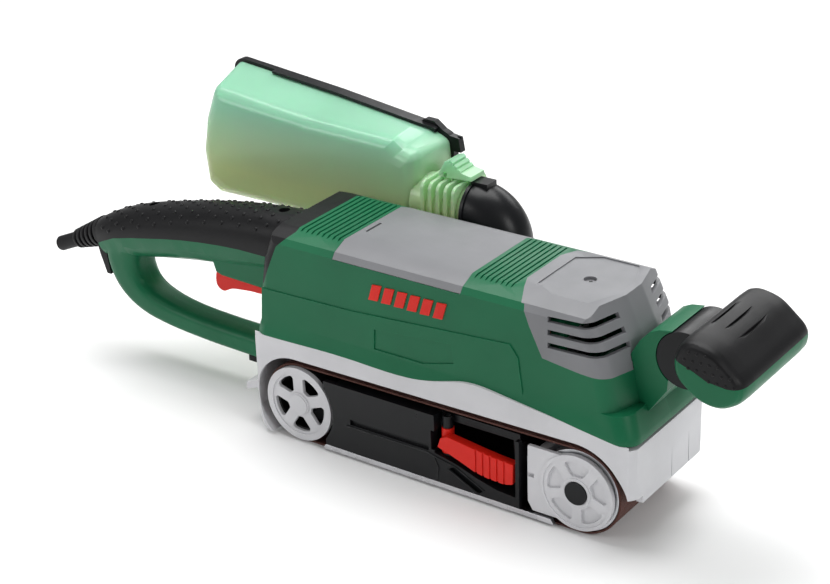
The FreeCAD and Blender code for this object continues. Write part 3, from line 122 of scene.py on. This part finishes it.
def plastic(name, colour, rough, grain=1400.0, depth=0.16, edge=1.5, coat=0.0, gloss_level=0.4):
    """Moulded plastic: fine spark-eroded grain, faint tone and gloss changes, rubbed edges."""
    mat, tree, bsdf = fresh(name)
    tone = noise(tree, 18.0, 4.0)
    base = mixed(tree, ranged(tree, tone, 0.0, 1.0), shade(colour, 0.90), shade(colour, 1.08))
    base = mixed(tree, edge_share(tree, 0.86, 0.99), base, shade(colour, edge))
    tree.links.new(base, bsdf.inputs["Base Color"])
    gloss = noise(tree, 55.0, 5.0, 0.6)
    tree.links.new(ranged(tree, gloss, rough - 0.05, rough + 0.07), bsdf.inputs["Roughness"])
    fine = noise(tree, grain, 2.0)
    tree.links.new(bumped(tree, fine, depth, 0.00012), bsdf.inputs["Normal"])
    bsdf.inputs["Specular IOR Level"].default_value = gloss_level
    bsdf.inputs["Coat Weight"].default_value = coat
    bsdf.inputs["Coat Roughness"].default_value = 0.25
    return mat


def metal(name, colour, rough, brushed=0.0, grain=900.0):
    """Metal with fine machining marks and duller patches."""
    mat, tree, bsdf = fresh(name)
    bsdf.inputs["Metallic"].default_value = 1.0
    patch = noise(tree, 70.0, 5.0, 0.6)
    base = mixed(tree, ranged(tree, patch, 0.0, 1.0), shade(colour, 0.82), shade(colour, 1.08))
    tree.links.new(base, bsdf.inputs["Base Color"])
    tree.links.new(ranged(tree, patch, rough - 0.06, rough + 0.10), bsdf.inputs["Roughness"])
    where = node(tree, "ShaderNodeTexCoord")
    stretch = node(tree, "ShaderNodeMapping")
    stretch.inputs["Scale"].default_value = (1.0, 1.0 - 0.95 * brushed, 1.0)
    tree.links.new(where.outputs["Object"], stretch.inputs["Vector"])
    marks = node(tree, "ShaderNodeTexNoise", Scale=grain, Detail=3.0)
    tree.links.new(stretch.outputs["Vector"], marks.inputs["Vector"])
    tree.links.new(bumped(tree, marks.outputs["Fac"], 0.12, 0.0001), bsdf.inputs["Normal"])
    return mat


def rubber(name, colour, rough=0.62, grain=2200.0):
    return plastic(name, colour, rough, grain, 0.20, 1.25, 0.0, 0.20)


def abrasive():
    """Resin-bonded grit on cloth: sharp grain, dark resin, brighter crystals, some wear."""
    mat, tree, bsdf = fresh("abrasive_cloth")
    where = node(tree, "ShaderNodeTexCoord")
    grit = node(tree, "ShaderNodeTexVoronoi", Scale=2600.0)
    tree.links.new(where.outputs["Object"], grit.inputs["Vector"])
    cells = ranged(tree, grit.outputs["Distance"], 0.0, 1.0, 0.05, 0.65)
    dark, mid, light = (0.045, 0.012, 0.008, 1), (0.125, 0.032, 0.020, 1), (0.24, 0.085, 0.055, 1)
    base = mixed(tree, cells, mid, dark)
    base = mixed(tree, ranged(tree, noise(tree, 2400.0, 2.0), 0.0, 0.7, 0.55, 0.68), base, light)
    base = mixed(tree, ranged(tree, noise(tree, 26.0, 4.0), 0.0, 0.35), base, shade(dark, 1.6))
    tree.links.new(base, bsdf.inputs["Base Color"])
    tree.links.new(ranged(tree, noise(tree, 1500.0), 0.58, 0.86), bsdf.inputs["Roughness"])
    tree.links.new(bumped(tree, grit.outputs["Distance"], 0.75, 0.0003), bsdf.inputs["Normal"])
    return mat


def clear_plastic(name, colour, warm, rough, thin):
    """Tinted translucent moulding, with a milky body and soft flow marks."""
    mat, tree, bsdf = fresh(name)
    flow = noise(tree, 24.0, 4.0)
    base = mixed(tree, ranged(tree, flow, 0.0, 1.0), shade(colour, 0.95), shade(colour, 1.04))
    where = node(tree, "ShaderNodeTexCoord")
    split = tree.nodes.new("ShaderNodeSeparateXYZ")
    tree.links.new(where.outputs["Object"], split.inputs["Vector"])
    low = ranged(tree, split.outputs["Z"], 1.0, 0.0, 0.118, 0.158)
    base = mixed(tree, low, base, warm)
    tree.links.new(base, bsdf.inputs["Base Color"])
    tree.links.new(ranged(tree, flow, rough - 0.02, rough + 0.03), bsdf.inputs["Roughness"])
    bsdf.inputs["Transmission Weight"].default_value = thin
    bsdf.inputs["Coat Weight"].default_value = 0.35
    bsdf.inputs["Coat Roughness"].default_value = 0.12
    bsdf.inputs["IOR"].default_value = 1.30
    bsdf.inputs["Subsurface Weight"].default_value = 0.35
    bsdf.inputs["Subsurface Radius"].default_value = (0.006, 0.012, 0.008)
    bsdf.inputs["Subsurface Scale"].default_value = 1.0
    fine = noise(tree, 700.0, 2.0)
    tree.links.new(bumped(tree, fine, 0.06, 0.0001), bsdf.inputs["Normal"])
    return mat


def paper():
    mat, tree, bsdf = fresh("filter_paper")
    fibre = noise(tree, 900.0, 6.0, 0.7)
    base = mixed(tree, ranged(tree, fibre, 0.0, 1.0), (0.62, 0.55, 0.25, 1), (0.78, 0.72, 0.42, 1))
    tree.links.new(base, bsdf.inputs["Base Color"])
    tree.links.new(ranged(tree, fibre, 0.75, 0.95), bsdf.inputs["Roughness"])
    tree.links.new(bumped(tree, fibre, 0.4, 0.0002), bsdf.inputs["Normal"])
    return mat


# One look for each material slot of the record.
LOOKS = {
    "green_plastic": plastic("green_moulding", (0.006, 0.118, 0.050), 0.36, 1500.0, 0.14, 1.35,
                             0.0, 0.22),
    "light_plastic": plastic("light_moulding", (0.58, 0.58, 0.60), 0.42, 1500.0, 0.12, 1.08,
                             0.0, 0.3),
    "grey_plastic": plastic("grey_moulding", (0.175, 0.178, 0.188), 0.42, 1500.0, 0.16, 1.15),
    "dark_plastic": plastic("dark_moulding", (0.0055, 0.006, 0.007), 0.32, 1500.0, 0.16, 2.6,
                            0.0, 0.22),
    "softgrip": rubber("softgrip_rubber", (0.0058, 0.0058, 0.0066), 0.42),
    "red_plastic": plastic("red_moulding", (0.62, 0.014, 0.007), 0.34, 1500.0, 0.12, 1.2,
                           0.0, 0.22),
    "clear_green": clear_plastic("clear_green_moulding", (0.34, 0.76, 0.50, 1),
                                 (0.72, 0.88, 0.42, 1), 0.40, 0.38),
    "abrasive": abrasive(),
    "rubber": rubber("black_rubber", (0.007, 0.007, 0.008), 0.52),
    "steel": metal("plated_steel", (0.50, 0.50, 0.52), 0.34),
    "bright_steel": metal("ground_steel", (0.62, 0.62, 0.64), 0.26, 1.0),
    "aluminium": metal("cast_aluminium", (0.66, 0.67, 0.69), 0.38),
    "copper": metal("enamelled_copper", (0.62, 0.26, 0.12), 0.30),
    "carbon": plastic("pressed_carbon", (0.02, 0.02, 0.021), 0.62, 2400.0, 0.3),
    "paper": paper(),
    "cork_pad": rubber("graphite_cloth", (0.03, 0.03, 0.033), 0.5, 1800.0),
}

DARK_CAST = metal("dark_cast_metal", (0.05, 0.05, 0.052), 0.5)


# ---------------------------------------------------------------- looks of the CAD nodes
SLOT_OF = {part["node"]: part["material_slot"] for part in frame["record"]["subparts"]}
USUAL_EDGE_MM = 0.4
EDGE_MM = {
    "housing_left": 0.9, "housing_right": 0.9, "belt_shroud": 1.1, "front_cover": 0.6,
    "handle_softgrip": 0.5, "top_plate": 0.4, "dust_box": 1.2, "dust_box_lid": 0.7,
    "side_accent": 0.15, "motor_fan": 0.2, "commutator": 0.1, "drive_pinion": 0.15,
    "driven_pulley": 0.2, "sole_pad": 0.2, "sole_plate": 0.3, "sanding_belt": 0.25,
    "dust_filter": 0.1, "cord_sleeve": 0.4, "speed_dial": 0.1, "tension_lever": 0.25,
    "front_roller_bearings": 0.3,
}


def smooth_edges(obj, width_mm):
    """Joins split vertices and rounds the sharp edges."""
    obj.data.polygons.foreach_set("use_smooth", [True] * len(obj.data.polygons))
    weld = obj.modifiers.new("weld", "WELD")
    weld.merge_threshold = 0.00001
    bevel = obj.modifiers.new("bevel", "BEVEL")
    bevel.width = width_mm * MM
    bevel.segments = 2
    bevel.limit_method = "ANGLE"
    bevel.angle_limit = math.radians(28)
    normals = obj.modifiers.new("normals", "WEIGHTED_NORMAL")
    normals.weight = 50


for name, obj in frame["nodes"].items():
    obj.data.materials.clear()
    obj.data.materials.append(DARK_CAST if name == "drive_drum" else LOOKS[SLOT_OF[name]])
    smooth_edges(obj, EDGE_MM.get(name, USUAL_EDGE_MM))


# ---------------------------------------------------------------- small pieces on the CAD
def surface(name):
    """The skin of a CAD node, for ray casts."""
    mesh = frame["nodes"][name].data
    corners = [vertex.co.copy() for vertex in mesh.vertices]
    return BVHTree.FromPolygons(corners, [tuple(face.vertices) for face in mesh.polygons])


def piece(name, bm, slot, body):
    """Turns a bmesh into a shown piece with the slot's material, riding on a CAD body."""
    mesh = bpy.data.meshes.new(name)
    bmesh.ops.recalc_face_normals(bm, faces=bm.faces)
    bm.to_mesh(mesh)
    bm.free()
    mesh.polygons.foreach_set("use_smooth", [True] * len(mesh.polygons))
    mesh.materials.append(LOOKS[slot])
    made = bpy.data.objects.new(name, mesh)
    bpy.context.scene.collection.objects.link(made)
    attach(made, body)
    return made


def turned(bm, place, axis, profile, lobes=0, depth=0.0):
    """A small turned form on a surface: profile is (radius, height) from its foot to its tip."""
    axis = axis.normalized()
    side = axis.orthogonal().normalized()
    other = axis.cross(side)
    count = 36 if lobes else 14
    rings = []
    for radius, height in profile:
        ring = []
        for i in range(count):
            angle = 2 * math.pi * i / count
            reach = radius * (1.0 + depth * math.cos(lobes * angle)) if lobes else radius
            spot = side * math.cos(angle) * reach + other * math.sin(angle) * reach
            ring.append(bm.verts.new(place + spot + axis * height))
        rings.append(ring)
    for low, high in zip(rings, rings[1:]):
        for i in range(count):
            j = (i + 1) % count
            bm.faces.new((low[i], low[j], high[j], high[i]))
    bm.faces.new(rings[-1])
    bm.faces.new(list(reversed(rings[0])))


def stud(bm, place, axis, radius, height):
    """A low round-topped stud whose foot is sunk a little in the surface."""
    profile = [(radius, -0.25 * height), (radius, 0.05 * height), (radius * 0.86, 0.55 * height),
               (radius * 0.55, 0.88 * height), (radius * 0.18, height)]
    turned(bm, place, axis, profile)


TOP_SCREWS_X = (-0.129, -0.233, 0.0775)
RING_PITCH = 0.0068
ROW_DEGREES = 26.0


def grip_studs():
    """Staggered rows of small studs along the crest of the rear grip, clear of its screws."""
    skin = surface("handle_softgrip")
    bm = bmesh.new()
    for i in range(23):
        x = -0.268 + RING_PITCH * i
        centre = Vector((x, 0.0, 0.109 - 0.032 * min(1.0, max(0.0, (-0.15 - x) / 0.12)) ** 1.4))
        for row in (-2.5, -1.5, -0.5, 0.5, 1.5, 2.5) if i % 2 else (-2, -1, 0, 1, 2):
            angle = math.radians(ROW_DEGREES * row)
            way = Vector((0.0, math.sin(angle), math.cos(angle)))
            spot, normal, _, _ = skin.ray_cast(centre + way * 0.06, -way, 0.06)
            if spot is None or normal.dot(way) < 0.5:
                continue
            if any((spot - Vector((s, 0.0, spot.z))).length < 0.0062 for s in TOP_SCREWS_X):
                continue
            stud(bm, spot, normal, 0.00135, 0.0007)
    piece("grip_studs", bm, "softgrip", "frame")


def knob_studs():
    """Studs on both end faces of the front knob."""
    skin = surface("knob_grip")
    bm = bmesh.new()
    for side in (-1.0, 1.0):
        for i in range(8):
            for k in range(5):
                x = 0.152 + 0.0046 * i + (0.0023 if k % 2 else 0.0)
                z = 0.1085 + 0.0044 * k
                start = Vector((x, side * 0.06, z))
                spot, normal, _, _ = skin.ray_cast(start, Vector((0.0, -side, 0.0)), 0.03)
                if spot is None or normal.y * side < 0.9 or abs(spot.y) < 0.039:
                    continue
                stud(bm, spot, normal, 0.0009, 0.00042)
    piece("knob_studs", bm, "softgrip", "knob")


# The screws on the far side, as node: [(x, z), ...]
FAR_SCREWS = {
    "housing_screws": [(-0.104, 0.108), (-0.104, 0.078), (-0.044, 0.112), (-0.044, 0.076),
                       (0.088, 0.086), (0.014, 0.118)],
    "transmission_screws": [(-0.062, 0.0625), (0.002, 0.051)],
}


def painted_socket_shade():
    """The drive sockets of the screw heads as painted shade: flat dark six-lobed discs lying a
    hair proud of each head, in place of real recesses.
    """
    bm = bmesh.new()
    profile = [(0.00125, -0.0002), (0.00125, 0.00003), (0.0006, 0.00005)]
    tops = surface("top_screws")
    hits = []
    for x in TOP_SCREWS_X:
        start = Vector((x + 0.0003, 0.0002, 0.16))
        hits.append(tops.ray_cast(start, Vector((0, 0, -1)), 0.1))
    for name, places in FAR_SCREWS.items():
        heads = surface(name)
        for x, z in places:
            start = Vector((x + 0.0003, 0.09, z + 0.0002))
            hits.append(heads.ray_cast(start, Vector((0, -1, 0)), 0.08))
    for spot, normal, _, _ in hits:
        if spot is not None:
            turned(bm, spot, normal, profile, lobes=6, depth=0.16)
    # The carbon look here is painted shade, the dark inside the sockets, not the colour of the
    # screws.
    piece("screw_socket_painted_shade", bm, "carbon", "frame")


def rib(bm, points, width, y_low, y_high, slim=0.75):
    """A raised rib along points (x, z) in millimetres, standing on the side at y_low.

    Its crown at y_high is slim times as wide as its foot.
    """
    half = width / 2
    left, right = [], []
    for i, (x, z) in enumerate(points):
        back = points[max(0, i - 1)]
        ahead = points[min(len(points) - 1, i + 1)]
        run = Vector((ahead[0] - back[0], ahead[1] - back[1])).normalized()
        left.append((x - run.y * half, z + run.x * half))
        right.append((x + run.y * half, z - run.x * half))
    outline = left + right[::-1]
    centre = [((a[0] + b[0]) / 2, (a[1] + b[1]) / 2) for a, b in zip(left, right)]
    centre = centre + centre[::-1]
    foot = [bm.verts.new(Vector((x, y_low, z)) * MM) for x, z in outline]
    crown = []
    for (x, z), (cx, cz) in zip(outline, centre):
        spot = Vector((cx + (x - cx) * slim, y_high, cz + (z - cz) * slim))
        crown.append(bm.verts.new(spot * MM))
    count = len(outline)
    for i in range(count):
        j = (i + 1) % count
        bm.faces.new((foot[i], foot[j], crown[j], crown[i]))
    for i in range(len(points) - 1):
        j = count - 1 - i
        bm.faces.new((crown[i], crown[i + 1], crown[j - 1], crown[j]))
        bm.faces.new((foot[j], foot[j - 1], foot[i + 1], foot[i]))


def frame_ribs():
    """Stiffening ribs on the near side of the belt frame."""
    side = -41.2
    bm = bmesh.new()
    rib(bm, [(-58, 21.6), (-2, 21.6), (3, 20.4), (17.5, 17.6)], 1.2, side, -41.75)
    rib(bm, [(2.2, 21.2), (5.4, 14.0), (4.4, 6.4)], 1.0, side, -41.7)
    rib(bm, [(12.0, 15.0), (31.6, 5.4)], 1.0, side, -41.7)
    rib(bm, [(16.4, 18.0), (35.8, 8.4)], 1.0, side, -41.7)
    piece("frame_ribs", bm, "dark_plastic", "frame")


grip_studs()
knob_studs()
painted_socket_shade()
frame_ribs()


# ---------------------------------------------------------------- stage
FLOOR_Z = -0.0002
REACH = 9
floor_mesh = bpy.data.meshes.new("floor")
floor_mesh.from_pydata([(-REACH, -REACH, FLOOR_Z), (REACH, -REACH, FLOOR_Z),
                        (REACH, REACH, FLOOR_Z), (-REACH, REACH, FLOOR_Z)], [], [(0, 1, 2, 3)])
floor = bpy.data.objects.new("floor", floor_mesh)
bpy.context.scene.collection.objects.link(floor)
floor_mat, floor_tree, floor_bsdf = fresh("pale_floor")
floor_tone = mixed(floor_tree, ranged(floor_tree, noise(floor_tree, 6.0), 0.0, 1.0),
                   (0.86, 0.86, 0.86, 1), (0.90, 0.90, 0.90, 1))
floor_tree.links.new(floor_tone, floor_bsdf.inputs["Base Color"])
floor_bsdf.inputs["Roughness"].default_value = 0.65
floor_mesh.materials.append(floor_mat)

world = bpy.data.worlds.new("studio")
world.use_nodes = True
world.node_tree.nodes["Background"].inputs["Color"].default_value = (1.0, 1.0, 1.0, 1)
world.node_tree.nodes["Background"].inputs["Strength"].default_value = 0.32
bpy.context.scene.world = world


def softbox(name, place, target, size, watts):
    """A rectangular area light at place, turned to target."""
    data = bpy.data.lights.new(name, "AREA")
    data.shape = "RECTANGLE"
    data.size, data.size_y = size
    data.energy = watts
    lamp = bpy.data.objects.new(name, data)
    lamp.location = place
    lamp.rotation_euler = (Vector(target) - Vector(place)).to_track_quat("-Z", "Y").to_euler()
    bpy.context.scene.collection.objects.link(lamp)


AIM = (0.0, 0.0, 0.08)
softbox("key_top", (-0.3, 0.3, 1.5), AIM, (1.4, 0.9), 27)
softbox("side_left", (-1.0, -1.3, 0.8), AIM, (0.7, 0.5), 6)
softbox("front_right", (1.4, -0.3, 0.9), AIM, (0.6, 0.6), 7)
softbox("rim_back", (-0.2, 1.5, 0.9), AIM, (1.4, 0.5), 9)

camera_data = bpy.data.cameras.new("camera")
camera_data.lens = 84.92
camera_data.sensor_width = 36.0
camera_data.clip_start = 0.02
camera_data.clip_end = 40.0
camera = bpy.data.objects.new("camera", camera_data)
# The camera's own axes: right, up and back towards the viewer.
RIGHT = Vector((0.81721117, 0.57557891, -0.02957728))
UP = Vector((-0.22477725, 0.36555526, 0.90324113))
BACK = Vector((0.53069868, -0.73149044, 0.42811289))
turn = Matrix((RIGHT, UP, BACK)).transposed()
camera.matrix_world = Matrix.Translation((0.55094, -0.81021, 0.56903)) @ turn.to_4x4()
bpy.context.scene.collection.objects.link(camera)
bpy.context.scene.camera = camera
bpy.context.scene.view_settings.view_transform = "Standard"
